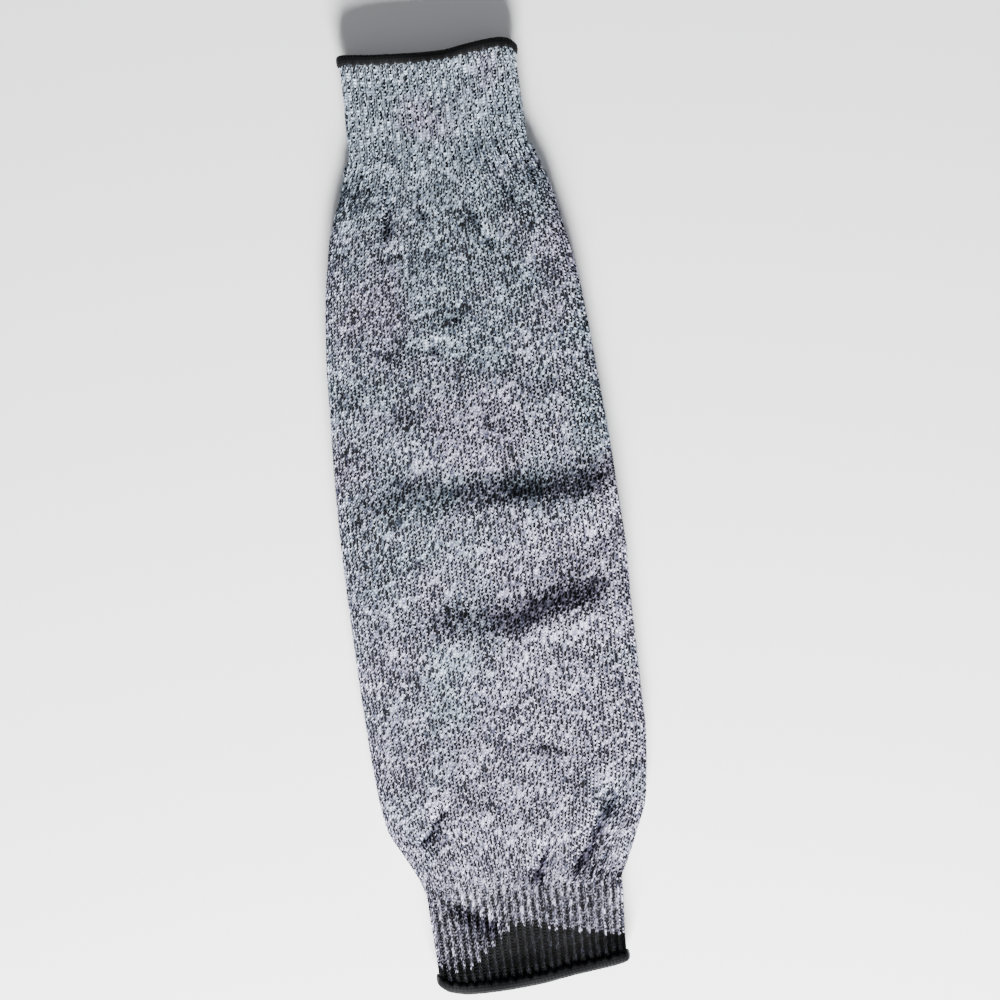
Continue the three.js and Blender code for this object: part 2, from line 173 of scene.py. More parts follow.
def eased(table, place):
    """A table's value at each place: an S curve between rows, bent to the slopes beside them."""
    keys, values = np.array(table, float).T
    last = len(keys) - 1
    held = np.clip(place, keys[0], keys[-1])
    row = np.clip(np.searchsorted(keys, held, side="right") - 1, 0, last - 1)
    before = np.maximum(row - 1, 0)
    after = np.minimum(row + 2, last)
    step = keys[row + 1] - keys[row]
    start = (values[row + 1] - values[before]) / (keys[row + 1] - keys[before]) * step
    end = (values[after] - values[row]) / (keys[after] - keys[row]) * step
    t = (held - keys[row]) / step
    bend = start * t * (1 - t) ** 2 - end * t**2 * (1 - t)
    return values[row] + (values[row + 1] - values[row]) * smooth(t) + bend


def section_sizes(station):
    """Half width, middle and height of the tube: cuff sizes spread towards the body's."""
    widest = WIDEST_AT * BODY_LENGTH
    from_arm = np.clip(station / widest, 0, 1)
    from_wrist = np.clip((BODY_LENGTH - station) / (BODY_LENGTH - widest), 0, 1)
    on_arm = station < widest
    spread = np.where(on_arm, eased(ARM_SPREAD, from_arm), eased(WRIST_SPREAD, from_wrist))
    drift = np.where(on_arm, eased(ARM_DRIFT, from_arm), eased(WRIST_DRIFT, from_wrist))
    past_arm = smooth(-station / BOW_REACH)
    past_wrist = smooth((station - BODY_LENGTH) / BOW_REACH)
    spread = spread * (1 - past_arm) * (1 - past_wrist)
    drift = drift + (ARM_CUFF_DRIFT - drift) * past_arm + (WRIST_CUFF_DRIFT - drift) * past_wrist
    cuff = np.where(on_arm, ARM_CUFF_WIDTH, WRIST_CUFF_WIDTH)
    half = (cuff + (BODY_WIDTH - cuff) * spread) / 2
    height = CUFF_HEIGHT + (BODY_HEIGHT - CUFF_HEIGHT) * spread
    return half, drift * BODY_WIDTH, height


def by_length(across, up, steps=4000):
    """For a curve traced by two functions of a share: its length, and a function that gives the
    share of the trace at each share of the length."""
    share = np.linspace(0, 1, steps)
    run = np.hypot(np.diff(across(share)), np.diff(up(share)))
    length = np.concatenate([[0], np.cumsum(run)])
    return length[-1], lambda part: np.interp(part, length / length[-1], share)


def crown_across(share):
    """Cosine of the half turn, raised to the crown's power with its sign kept."""
    cosine = np.cos(math.pi * share)
    return np.sign(cosine) * np.abs(cosine) ** CROWN_POWER


def crown_up(share):
    """Sine of the half turn, raised to the crown's power."""
    return np.abs(np.sin(math.pi * share)) ** CROWN_POWER


def corner_across(share):
    return UNDER_CORNER * np.cos(share * math.pi / 2)


def corner_up(share):
    return SIDE_FOLD_HEIGHT * (1 - np.sin(share * math.pi / 2))


MEAN_HALF = 48
MEAN_RISE = 9
_, crown_trace = by_length(
    lambda share: MEAN_HALF * crown_across(share), lambda share: MEAN_RISE * crown_up(share)
)
CORNER_LENGTH, corner_trace = by_length(corner_across, corner_up)


def section(turn, half, middle, height):
    """Place across and height on the tube's outline: a flattened half oval over the front, then
    quarter ovals at the corners and a flat under face, each turn an even length."""
    whole = turn - np.floor(turn)
    trace = crown_trace(whole * 2)
    top_x = middle - half * crown_across(trace)
    top_z = SIDE_FOLD_HEIGHT + (height - SIDE_FOLD_HEIGHT) * crown_up(trace)
    under = 2 * (half - UNDER_CORNER + CORNER_LENGTH)
    gone = np.clip(whole * 2 - 1, 0, 1) * under
    side = np.where(gone < under / 2, 1, -1)
    from_fold = np.where(side > 0, gone, under - gone)
    corner = corner_trace(np.clip(from_fold / CORNER_LENGTH, 0, 1))
    inward = np.maximum(from_fold - CORNER_LENGTH, 0)
    under_x = middle + side * (half - UNDER_CORNER + corner_across(corner) - inward)
    front = whole < 0.5
    return np.where(front, top_x, under_x), np.where(front, top_z, corner_up(corner))


def edge_shift(across, station):
    """How far the bowed edges move a place along the sleeve, fading into the cuffs."""
    from_wrist = smooth(1 - (WRIST_END - station) / BOW_REACH)
    from_arm = smooth(1 - (station - ARM_END) / BOW_REACH)
    return EDGE_BOW * (from_wrist * eased(WRIST_EDGE, across) - from_arm * eased(ARM_EDGE, across))


LIFT_REACH = 1.5 * OVERLOCK_WIDTH  # over which the knit rises before an edge
FOLD_FADE = 4  # a fold reaches its full depth over a quarter of its length
FOLD_END_SHARE = 0.5  # of that fade, which a fold has at its very end
CREASE_FADE = 3
CREASE_END_SHARE = 0.1
RELIEF_FACING = 1.5  # the folds fade out where the cloth turns down at its sides


def lift(station):
    """The knit rises at each end to make room for the overlock under it."""
    to_end = np.minimum(WRIST_END - station, station - ARM_END)
    return OVERLOCK_STAND * smooth(2 - to_end / LIFT_REACH)


def fold_height(across, station):
    """The slope of a bell curve over the distance from each fold's line: hollow on its wrist
    side and raised on its arm side."""
    height = 0
    for line, reach, left, right in CROSS_FOLDS:
        start, end = line[0][0], line[-1][0]
        part = (across - start) / (end - start)
        fade = smooth(part * FOLD_FADE + FOLD_END_SHARE)
        fade = fade * smooth((1 - part) * FOLD_FADE + FOLD_END_SHARE)
        depth = FOLD_DEPTH * (left + (right - left) * smooth(part)) * fade
        steps = (station / BODY_LENGTH - eased(line, across)) / reach
        height = height - depth * steps * np.exp((1 - steps * steps) / 2)
    return height


def crease_height(x, station):
    """Two bell curves over the distance from each crease's line: a wide one, and a narrow one
    down its middle where the knit is pinched."""
    height = 0
    for start, end, depth, width in CREASES:
        size = np.array([BODY_WIDTH / 2, BODY_LENGTH])
        start, run = np.array(start) * size, (np.array(end) - np.array(start)) * size
        part = ((x - start[0]) * run[0] + (station - start[1]) * run[1]) / (run @ run)
        part = np.clip(part, 0, 1)
        off = np.hypot(x - start[0] - run[0] * part, station - start[1] - run[1] * part)
        depth = depth * smooth(part * CREASE_FADE + CREASE_END_SHARE)
        depth = depth * smooth((1 - part) * CREASE_FADE + CREASE_END_SHARE)
        wide = off / (CREASE_WIDTH * width)
        bell = np.exp(-(wide**2)) + PINCH_DEPTH * np.exp(-((wide / PINCH_WIDTH) ** 2))
        height = height - CREASE_DEPTH * depth * bell
    return height


# The cloth's uneven ground, in millimetres: one sum of sines, pleats near the cuffs, and the
# height by which the whole front face rises and sinks at shares of its length

SWELL_HEIGHT = 0.55
SWELL_SEED = 5
SWELL_WAVES = 12
SWELL_LENGTHS = (70, 18)
PLEAT_HEIGHT = 0.2
PLEAT_SEED = 11
PLEATS_ROUND = (13, 17, 22, 29, 37)
PLEAT_LEAN = 0.6  # radians to a centimetre along, at most
# Before a cuff, over which length the pleats rise, and up to where and over which length they end
WRIST_PLEATS = (4, 14, 48, 36)
ARM_PLEATS = (4, 12, 34, 24)
ROLL = (
    (-0.12, 1.5), (0, 0.5), (0.12, -0.5), (0.22, -0.9), (0.34, 0.2), (0.42, 0.3), (0.5, 0.5),
    (0.58, 0.4), (0.72, -0.8), (0.85, -1.2), (1, -1.2), (1.13, 0),
)


def swell(x, y):
    """Soft uneven ground: sines of many directions and wave lengths, added up."""
    draw = np.random.default_rng(SWELL_SEED)
    longest, shortest = SWELL_LENGTHS
    total = 0
    for _ in range(SWELL_WAVES):
        turned = draw.uniform(0, math.pi)
        number = 2 * math.pi / draw.uniform(shortest, longest)
        way = x * math.cos(turned) + y * math.sin(turned)
        total = total + np.sin(way * number + draw.uniform(0, 2 * math.pi))
    return total / math.sqrt(SWELL_WAVES)


def near_cuff(inward, window):
    """1 where pleats stand and 0 elsewhere, for a place's distance into the body from a cuff."""
    before, rise, end, fall = window
    return smooth((inward + before) / rise) * smooth((end - inward) / fall)


def wrinkle_height(x, station, turn):
    """Low swells all over the front face, and small pleats that run out of each cuff."""
    draw = np.random.default_rng(PLEAT_SEED)
    pleats = 0
    for number in PLEATS_ROUND:
        phase = draw.uniform(0, 2 * math.pi)
        lean = draw.uniform(-PLEAT_LEAN, PLEAT_LEAN)
        pleats = pleats + np.cos(2 * math.pi * number * turn + phase + lean * station / CENTIMETRE)
    near = near_cuff(BODY_LENGTH - station, WRIST_PLEATS) + near_cuff(station, ARM_PLEATS)
    ground = SWELL_HEIGHT * swell(x, station) + PLEAT_HEIGHT * near * pleats
    return ground + eased(ROLL, station / BODY_LENGTH)


def surface(turn, station):
    """The tube's smooth outer face on a grid that closes in turn: places, and the outward way
    across the section."""
    half, middle, height = section_sizes(station)
    x, z = section(turn, half, middle, height)
    run_x = np.roll(x, -1, 1) - np.roll(x, 1, 1)
    run_z = np.roll(z, -1, 1) - np.roll(z, 1, 1)
    length = np.hypot(run_x, run_z)
    out_x, out_z = -run_z / length, run_x / length
    across = np.clip((x - middle) / half, -1, 1)
    relief = fold_height(across, station) + crease_height(x, station)
    relief = relief + wrinkle_height(x, station, turn)
    y = station + edge_shift(across, station)
    z = z + lift(station) + smooth(out_z * RELIEF_FACING) * relief
    return np.stack([x, y, z], -1), np.stack([out_x, 0 * x, out_z], -1)


def outward(places):
    """Unit normals of a grid that closes in turn: the cross product of its two central
    differences, which skip the zigzag of the rows."""
    round_it = np.roll(places, -1, 1) - np.roll(places, 1, 1)
    along_it = np.gradient(places, axis=0)
    normal = np.cross(round_it, along_it)
    return normal / np.linalg.norm(normal, axis=-1, keepdims=True)


# The knit's grid: two columns to a wale, at its side and its middle, and two rows to a course,
# at the groove and the crest of its legs. Rows zigzag, so that the legs of a stitch make a V.

ZIGZAG = 0.38  # of a course, up at a wale's sides and down at its middle
LEG_SINK = 0.26  # how deep the groove between two courses is
WALE_SINK = 0.3  # how deep the groove between two wales is
RIB_DEPTH = 1.15
RIB_FADE = 13  # how far the ribs run on into the body
RIB_FLATTENED = 3  # over this length the ribs flatten into the overlock
RIB_SHIFT = np.array([0, 0.05, 0.1, 0.15, 0.2, 0.1])  # of a wale: the raised wales spread
RIB_SINK = np.array([0.5, 0, 0.1, 0, 0.5, 1])
SLACK = 0.035  # how unevenly the stitches stand
UNEVEN = 0.05  # how unevenly they lie, of a stitch
PURL_FLATNESS = 0.7  # a rib's sunk wale shows its back, whose legs make no V
SUNK_COLUMN = 5  # of the six columns of a rib, the middle of its sunk wale
RIB_WALL_SPARE = 0.4  # the wall is measured from the smooth face, which the sunk wales lie under
BOUND_REACH = 3  # past the overlock, where the wall grows thin to go under it
BOUND_FADE = 2


def knit_grid():
    """Outer and inner places of the whole tube's wall, in millimetres."""
    rows = np.arange((LAST_COURSE - FIRST_COURSE) * ROWS_PER_COURSE + 1)[:, None]
    columns = np.arange(WALES * COLUMNS_PER_WALE)[None, :]
    course = FIRST_COURSE + rows / ROWS_PER_COURSE
    level = course * COURSE
    ribbed = smooth(1 - level / RIB_FADE) + smooth(1 - (BODY_LENGTH - level) / RIB_FADE)
    to_end = np.minimum(WRIST_END - level, level - ARM_END)
    ribbed = ribbed * smooth((to_end - OVERLOCK_WIDTH) / RIB_FLATTENED)
    in_rib = columns % (RIB_WALES * COLUMNS_PER_WALE)
    uneven = rng.normal(0, UNEVEN, (2, rows.size, columns.size))
    turn = (columns / COLUMNS_PER_WALE + RIB_SHIFT[in_rib] * ribbed + uneven[0]) / WALES
    middle = columns % COLUMNS_PER_WALE == 1
    purl = 1 - PURL_FLATNESS * ribbed * (in_rib == SUNK_COLUMN)
    station = (course + ZIGZAG * np.where(middle, -1, 1) * purl + uneven[1]) * COURSE
    places, _ = surface(turn, station)
    smooth_normal = outward(places)
    sunk = RIB_DEPTH * RIB_SINK[in_rib] * ribbed
    ribs = places - smooth_normal * sunk[..., None]
    normal = outward(ribs)
    slack = np.abs(rng.normal(0, SLACK, station.shape))
    relief = LEG_SINK * (rows % ROWS_PER_COURSE == 0) + WALE_SINK * ~middle + slack
    outer = ribs - normal * relief[..., None]
    bound = smooth((OVERLOCK_WIDTH + BOUND_REACH - to_end) / BOUND_FADE)
    wall = KNIT_WALL + (RIB_WALL + RIB_WALL_SPARE - KNIT_WALL) * ribbed
    wall = wall + (BOUND_KNIT_WALL - wall) * bound
    inner = places - smooth_normal * np.broadcast_to(wall, station.shape)[..., None]
    return outer, inner


# The pieces' meshes

TUBE_MIDDLE = 144.73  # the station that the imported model's origin stands at
OUTER_SHARE = 0.5  # of the bake map's width for the outer face
INNER_SHARE = 0.4
BAKE_EDGE = 0.004
BAKE_CELL_HALF = 0.4  # of a cell's width, so that neighbours on the bake map stay apart


def bake_cells(count, corners):
    """A small cell of its own for each rim face, in columns down the bake map's right side."""
    side = math.ceil(math.sqrt(count))
    cell = np.stack(np.divmod(np.arange(count), side), -1)[:, None] + 0.5
    shape = np.array([(-1, -1), (1, -1), (1, 1), (-1, 1)])[:corners] * BAKE_CELL_HALF
    width = 1 - OUTER_SHARE - INNER_SHARE
    return (cell + shape) / side * (width, 1) + (1 - width, 0)


def bake_patch(row, column, rows, columns, start, share):
    """Places of a face's corners on the bake map: its rows and columns spread over a part."""
    across = start + BAKE_EDGE + column / columns * (share - 2 * BAKE_EDGE)
    return np.stack([across, BAKE_EDGE + row / rows * (1 - 2 * BAKE_EDGE)], -1)


def finish_piece(name, places, faces, maps, material, node):
    """Put places, faces of four and of three corners and their UV maps into a mesh, each face
    flat, and hand it to the frame."""
    mesh = bpy.data.meshes.new(name)
    used, corners = np.unique(np.concatenate([face.ravel() for face in faces]), return_inverse=True)
    sizes = np.concatenate([np.full(*face.shape) for face in faces])
    row_places = (places.reshape(-1, 3)[used] - (0, TUBE_MIDDLE, 0)) * MM
    mesh.vertices.add(len(used))
    mesh.vertices.foreach_set("co", row_places.ravel())
    mesh.loops.add(len(corners))
    mesh.loops.foreach_set("vertex_index", corners.ravel().astype(np.int32))
    mesh.polygons.add(len(sizes))
    mesh.polygons.foreach_set("loop_start", (np.cumsum(sizes) - sizes).astype(np.int32))
    for map_name, parts in maps.items():
        layer = mesh.uv_layers.new(name=map_name)
        layer.data.foreach_set("uv", np.concatenate([part.ravel() for part in parts]))
    mesh.update(calc_edges=True)
    mesh.shade_flat()
    mesh.materials.append(material)
    piece = bpy.data.objects.new(name, mesh)
    bpy.context.collection.objects.link(piece)
    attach(piece, "root")
    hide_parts(node)
    return piece


CORNER_ROW = np.array([0, 0, 1, 1])
CORNER_COLUMN = np.array([0, 1, 1, 0])


def corner_grid(row, column):
    """Rows and columns of the four corners of each face, turned outwards."""
    return row[:, None] + CORNER_ROW, column[:, None] + CORNER_COLUMN


def stitch_map(row, column):
    """Wales across and courses along, for the corners of each face."""
    wale = column / COLUMNS_PER_WALE
    return np.stack([wale, FIRST_COURSE + row / ROWS_PER_COURSE], -1)


def wall_piece(name, taken, material, node):
    """A closed wall over the taken faces of the whole grid: the outer face, the inner one turned
    round, and a rim wherever a taken face has an open side."""
    outer, inner = KNIT
    rows, columns = outer.shape[:2]
    row, column = np.nonzero(taken)
    corner_row, corner_column = corner_grid(row, column)
    outside = corner_row * columns + corner_column % columns
    inside = outside + rows * columns
    spread = (corner_row - row.min(), corner_column, row.max() + 1 - row.min(), columns)
    outer_bake = bake_patch(*spread, 0, OUTER_SHARE)
    inner_bake = bake_patch(*spread, OUTER_SHARE, INNER_SHARE)
    faces = [outside, inside[:, ::-1]]
    stitch = stitch_map(corner_row, corner_column)
    stitches = [stitch, stitch[:, ::-1]]
    padded = np.pad(np.pad(taken, ((1, 1), (0, 0))), ((0, 0), (1, 1)), mode="wrap")
    sides = (padded[:-2, 1:-1], padded[1:-1, 2:], padded[2:, 1:-1], padded[1:-1, :-2])
    for side, beside in enumerate(sides):
        is_open = ~beside[row, column]
        first, second = side, (side + 1) % 4
        out, back = outside[is_open], inside[is_open]
        rim = np.stack([out[:, second], out[:, first], back[:, first], back[:, second]], -1)
        faces.append(rim)
        stitches.append(stitch[is_open][:, [second, first, first, second]])
    rim_count = sum(len(face) for face in faces[2:])
    bake = [outer_bake, inner_bake[:, ::-1], bake_cells(rim_count, 4)]
    places = np.concatenate([outer, inner])
    faces = [np.concatenate(faces)]
    maps = {"stitch": stitches, "OFBake": bake}
    return finish_piece(name, places, faces, maps, material, node)


INNER_ROWS = 4  # rows of the outer face to one of the inner face
INNER_COLUMNS = 2


def body_piece(name, first_column, last_column, material):
    """A closed wall over a run of columns of the sleeve's body. Its inner face has wider faces
    than its outer one, and its four rims fan out from the one to the other."""
    outer, inner = KNIT
    rows, columns = outer.shape[:2]
    first_row, last_row = BODY_ROWS
    row_count, column_count = last_row - first_row, last_column - first_column
    faces, stitches, bakes = [], [], []
    parts = ((1, 1, 0, OUTER_SHARE), (INNER_ROWS, INNER_COLUMNS, OUTER_SHARE, INNER_SHARE))
    for row_step, column_step, start, share in parts:
        row, column = np.mgrid[0:row_count:row_step, 0:column_count:column_step]
        row = row.reshape(-1, 1) + CORNER_ROW * row_step
        column = column.reshape(-1, 1) + CORNER_COLUMN * column_step
        bake = bake_patch(row, column, row_count, column_count, start, share)
        number = (row + first_row) * columns + (column + first_column) % columns
        stitch = stitch_map(row + first_row, column + first_column)
        turned = slice(None) if start == 0 else slice(None, None, -1)
        faces.append((number + (start > 0) * rows * columns)[:, turned])
        stitches.append(stitch[:, turned])
        bakes.append(bake[:, turned])
    fans, fan_stitches = [], []
    run_rows = np.arange(first_row, last_row + 1)
    run_columns = np.arange(first_column, last_column + 1)
    edges = (
        (first_row + 0 * run_columns, run_columns, INNER_COLUMNS),
        (run_rows, last_column + 0 * run_rows, INNER_ROWS),
        (last_row + 0 * run_columns, run_columns[::-1], INNER_COLUMNS),
        (run_rows[::-1], first_column + 0 * run_rows, INNER_ROWS),
    )
    for row, column, ratio in edges:
        number = row * columns + column % columns
        far = number + rows * columns
        wale_course = stitch_map(row, column)
        start = np.arange(0, len(row) - 1, ratio)
        half = start + ratio // 2
        step = np.arange(len(row) - 1)
        foot = (step // ratio + (step % ratio >= ratio // 2)) * ratio
        narrow = np.stack([number[step + 1], number[step], far[foot]], -1)
        wide = np.stack([number[half], far[start], far[start + ratio]], -1)
        fans += [narrow, wide]
        fan_stitches += [wale_course[np.stack([step + 1, step, foot], -1)]]
        fan_stitches += [wale_course[np.stack([half, start, start + ratio], -1)]]
    fans = np.concatenate(fans)
    maps = {"stitch": stitches + fan_stitches, "OFBake": bakes + [bake_cells(len(fans), 3)]}
    places = np.concatenate([outer, inner])
    faces = [np.concatenate(faces), fans]
    return finish_piece(name, places, faces, maps, material, "sleeve_body")


# The overlocked edges: a channel of black thread round the knit's edge

OVERLOCK_COLUMNS = 832
THREAD_PITCH_COLUMNS = 7
THREAD_RIDGE = 0.14
THREAD_ROUNDNESS = 0.7
THREAD_LEAN = 0.5  # of a radian for each millimetre back from the end
LIP_WAVE = 0.3
LIP_START = 2.2  # from the end, where the lips begin to wave
LIP_REACH = 1.8
LIP_PHASE = 1
LIP_SWAYS = 31  # round the edge, besides one wave to each rib
LIP_SWAY_SHARE = 0.8
LIP_SWAY_PHASE = 6  # the most that an edge's sways are moved, in radians
LIP_UNEVEN = 0.05
OUTER_LIP_INSET = 0.6  # places further in lie on the tube's inside
SHOWN_PLACES = 12  # the section's other places lie under the lips, against the knit
# Back from the end, and in from the knit's outer face
OVERLOCK_SECTION = (
    (4.0, -0.1), (4.0, -0.5), (3.3, -0.85), (2.2, -1.0), (1.1, -0.9), (0.35, -0.4), (0, 0.6),
    (0.35, 1.6), (1.1, 2.1), (2.2, 2.2), (3.3, 2.05), (4.0, 1.7), (4.0, 1.3), (2.4, 1.28),
    (0.8, 1.25), (0.7, 0.6), (0.8, -0.05), (2.4, -0.08),
)


def overlock_piece(name, end, way, material):
    """The channel's section, carried round the tube at one end: threads stand proud as rounded
    ridges, and the lips wave in and out with the stitches that hold them. Each end has random
    numbers of its own."""
    back, inset = np.array(OVERLOCK_SECTION).T[..., None]
    count = len(OVERLOCK_SECTION)
    column = np.arange(OVERLOCK_COLUMNS)[None, :]
    turn = column / OVERLOCK_COLUMNS
    thread = np.abs(np.sin(math.pi * column / THREAD_PITCH_COLUMNS + back * THREAD_LEAN))
    thread = thread**THREAD_ROUNDNESS
    draw = np.random.default_rng(round(abs(end)))
    waves = np.sin(2 * math.pi * (WALES / RIB_WALES) * turn + LIP_PHASE)
    sway = 2 * math.pi * LIP_SWAYS * turn + draw.uniform(0, LIP_SWAY_PHASE)
    waves = waves + LIP_SWAY_SHARE * np.sin(sway)
    at_lip = smooth((back - LIP_START) / LIP_REACH)
    uneven = draw.normal(0, LIP_UNEVEN, (count, OVERLOCK_COLUMNS))
    back = back + LIP_WAVE * at_lip * waves + uneven
    shown = (np.arange(count) < SHOWN_PLACES)[:, None]
    away = np.where(inset < OUTER_LIP_INSET, -1, 1) * THREAD_RIDGE * (thread - 1) * shown
    places, out = surface(turn + 0 * back, end - way * back)
    places = places - out * (inset + away)[..., None]
    if way < 0:
        places = places[::-1]
    row, column = np.mgrid[0:count, 0:OVERLOCK_COLUMNS].reshape(2, -1)
    corner_row, corner_column = corner_grid(row, column)
    faces = corner_row % count * OVERLOCK_COLUMNS + corner_column % OVERLOCK_COLUMNS
    stitch = np.stack([corner_column / THREAD_PITCH_COLUMNS, corner_row / count], -1)
    bake = bake_patch(corner_row, corner_column, count, OVERLOCK_COLUMNS, 0, 1)
    maps = {"stitch": [stitch], "OFBake": [bake]}
    return finish_piece(name + "_thread", places, [faces], maps, material, name)


# Materials


def linear(code):
    """An sRGB hex colour as linear light, by the standard's own curve."""
    parts = [int(code[i : i + 2], 16) / 255 for i in (0, 2, 4)]
    curve = [p / 12.92 if p <= 0.04045 else ((p + 0.055) / 1.055) ** 2.4 for p in parts]
    return (*curve, 1)


def add(tree, kind, sockets, output=0, **settings):
    """Add a node with its settings, link or set its input sockets, and give an output socket."""
    node = tree.nodes.new("ShaderNode" + kind)
    for name, value in settings.items():
        setattr(node, name, value)
    for key, value in sockets.items():
        if isinstance(value, bpy.types.NodeSocket):
            tree.links.new(value, node.inputs[key])
        else:
            node.inputs[key].default_value = value
    return node.outputs[output]


def new_material(name):
    """An empty material with its node tree."""
    material = bpy.data.materials.new(name)
    material.use_nodes = True
    material.node_tree.nodes.clear()
    return material, material.node_tree


def add_output(tree, shader):
    """Link a shader to the material's output."""
    output = tree.nodes.new("ShaderNodeOutputMaterial")
    tree.links.new(shader, output.inputs["Surface"])


def coordinates(tree):
    """The knit's own map, in wales and courses, its two parts, and places on the object."""
    uv = add(tree, "UVMap", {}, uv_map="stitch")
    split = tree.nodes.new("ShaderNodeSeparateXYZ")
    tree.links.new(uv, split.inputs[0])
    return uv, split.outputs[0], split.outputs[1], add(tree, "TexCoord", {}, output="Object")


def multiply(tree, colour, other):
    """One colour times another."""
    sockets = {0: 1.0, 6: colour, 7: other}
    return add(tree, "Mix", sockets, output=2, data_type="RGBA", blend_type="MULTIPLY")


# The marl's flecks. The places where the dark ply comes up lie on slanting rows in the map

FLECKS_PER_COURSE = 0.8  # the plies come up a little less often than the stitches
ROW_CLIMB = -0.5  # of a fleck to a wale, by which the rows of flecks climb to the right
FLECK_LEAN = 0.3  # of a wale to the right over a fleck's height, because of the yarn's twist
FLECK_HALF_WIDTH = 0.42  # of a wale
FLECK_HALF_HEIGHT = 0.54
FLECK_CORE = 0.8  # of a fleck's half size, inside which it has its full tone
FLECK_STRAY = (0.2, 0.5, 0)  # how far a fleck strays across and along in its stitch
STRAY_SEED = (0.3, 0.7, 0)  # moves a stitch's number, so that its stray has its own chance
CELL_MIDDLE = (0.5, 0.5, 0)
NOISE_MIDDLE = (0.5, 0.5, 0.5)
LEGS = (2, 1, 0)  # to a wale and a fleck
WEAR_SCALE = 1.7  # of the noise that makes the borders of legs and flecks uneven
WEAR = (0.35, 0.5, 0)
GROUND_TONES = (0.46, 0.84)
RUN_SCALE = (0.11, 5.3, 0)  # a run of dark stitches is some ten wales long and one course high
RUN_SHARE = 0.9
DARKNESS = 0.8  # the more, the more flecks are dark
CLUMP_SCALE = 95  # clumps of about a centimetre
CLUMP_SHARE = 0.3
WRIST_TONE_COURSES = (235, 262)  # the courses over which the tone rises towards the wrist end
WRIST_TONES = (-0.15, -0.06)


def slanted(tree, uv):
    """The map with worn borders, in wales and flecks: it is sheared by the rows' climb."""
    wobble = add(tree, "TexNoise", {"Vector": uv, "Scale": WEAR_SCALE, "Detail": 1}, output=1)
    wobble = add(tree, "VectorMath", {0: wobble, 1: NOISE_MIDDLE}, operation="SUBTRACT")
    worn = add(tree, "VectorMath", {0: wobble, 1: WEAR, 2: uv}, operation="MULTIPLY_ADD")
    fleck = {0: worn, 1: (ROW_CLIMB, FLECKS_PER_COURSE, 0)}
    fleck = add(tree, "VectorMath", fleck, operation="DOT_PRODUCT", output=1)
    wale = add(tree, "VectorMath", {0: worn, 1: (1, 0, 0)}, operation="DOT_PRODUCT", output=1)
    return add(tree, "CombineXYZ", {"X": wale, "Y": fleck})


def fleck_mask(tree, flecks, stitch):
    """1 inside a stitch's leaning oval and 0 outside, by the length of the way from its middle
    in half sizes. A random number moves each middle a little."""
    stray = add(tree, "VectorMath", {0: stitch, 1: STRAY_SEED})
    stray = add(tree, "TexWhiteNoise", {"Vector": stray}, output=1, noise_dimensions="2D")
    stray = add(tree, "VectorMath", {0: stray, 1: NOISE_MIDDLE}, operation="SUBTRACT")
    way = add(tree, "VectorMath", {0: flecks}, operation="FRACTION")
    way = add(tree, "VectorMath", {0: way, 1: CELL_MIDDLE}, operation="SUBTRACT")
    way = add(tree, "VectorMath", {0: stray, 1: FLECK_STRAY, 2: way}, operation="MULTIPLY_ADD")
    sideways = {0: way, 1: (1 / FLECK_HALF_WIDTH, -FLECK_LEAN / FLECK_HALF_WIDTH, 0)}
    sideways = add(tree, "VectorMath", sideways, operation="DOT_PRODUCT", output=1)
    upward = {0: way, 1: (0, 1 / FLECK_HALF_HEIGHT, 0)}
    upward = add(tree, "VectorMath", upward, operation="DOT_PRODUCT", output=1)
    oval = add(tree, "CombineXYZ", {"X": sideways, "Y": upward})
    oval = add(tree, "VectorMath", {0: oval}, operation="LENGTH", output=1)
    edge = {"Value": oval, "From Min": 1.0, "From Max": FLECK_CORE}
    return add(tree, "MapRange", edge, interpolation_type="SMOOTHSTEP")


def yarn_tone(tree, uv, course, place):
    """From dark at 0 to light at 1. The light ply is the ground, and a random number gives each
    leg its own tone. The dark ply comes up as one oval in each stitch, as dark as another random
    number and a slower run along the course make it. Wide clumps are added."""
    flecks = slanted(tree, uv)
    leg = add(tree, "VectorMath", {0: flecks, 1: LEGS}, operation="MULTIPLY")
    leg = add(tree, "VectorMath", {0: leg}, operation="FLOOR")
    ground = add(tree, "TexWhiteNoise", {"Vector": leg}, noise_dimensions="2D")
    least, most = GROUND_TONES
    ground = add(tree, "MapRange", {"Value": ground, "To Min": least, "To Max": most})
    stitch = add(tree, "VectorMath", {0: flecks}, operation="FLOOR")
    dark = add(tree, "TexWhiteNoise", {"Vector": stitch}, noise_dimensions="2D")
    run = add(tree, "VectorMath", {0: stitch, 1: RUN_SCALE}, operation="MULTIPLY")
    run = add(tree, "TexNoise", {"Vector": run, "Scale": 1, "Detail": 0})
    dark = add(tree, "Math", {0: run, 1: RUN_SHARE, 2: dark}, operation="MULTIPLY_ADD")
    dark = add(tree, "Math", {0: dark, 1: DARKNESS}, operation="SUBTRACT")
    tone = add(tree, "Mix", {0: fleck_mask(tree, flecks, stitch), 2: ground, 3: dark})
    clump = add(tree, "TexNoise", {"Vector": place, "Scale": CLUMP_SCALE, "Detail": 1})
    tone = add(tree, "Math", {0: clump, 1: CLUMP_SHARE, 2: tone}, operation="MULTIPLY_ADD")
    start, end = WRIST_TONE_COURSES
    least, most = WRIST_TONES
    wrist = {"Value": course, "From Min": start, "From Max": end, "To Min": least, "To Max": most}
    return add(tree, "Math", {0: tone, 1: add(tree, "MapRange", wrist)})


BLOTCH_SCALE = 32  # blotches of about three centimetres
BLOTCH_RANGE = (0.36, 0.6)
BLOTCH_DRIFT = -1.0  # for each metre along, so that the wrist end is greener than the arm end
BLOTCH_TINTS = ("DCEEF5", "F3EEFF")


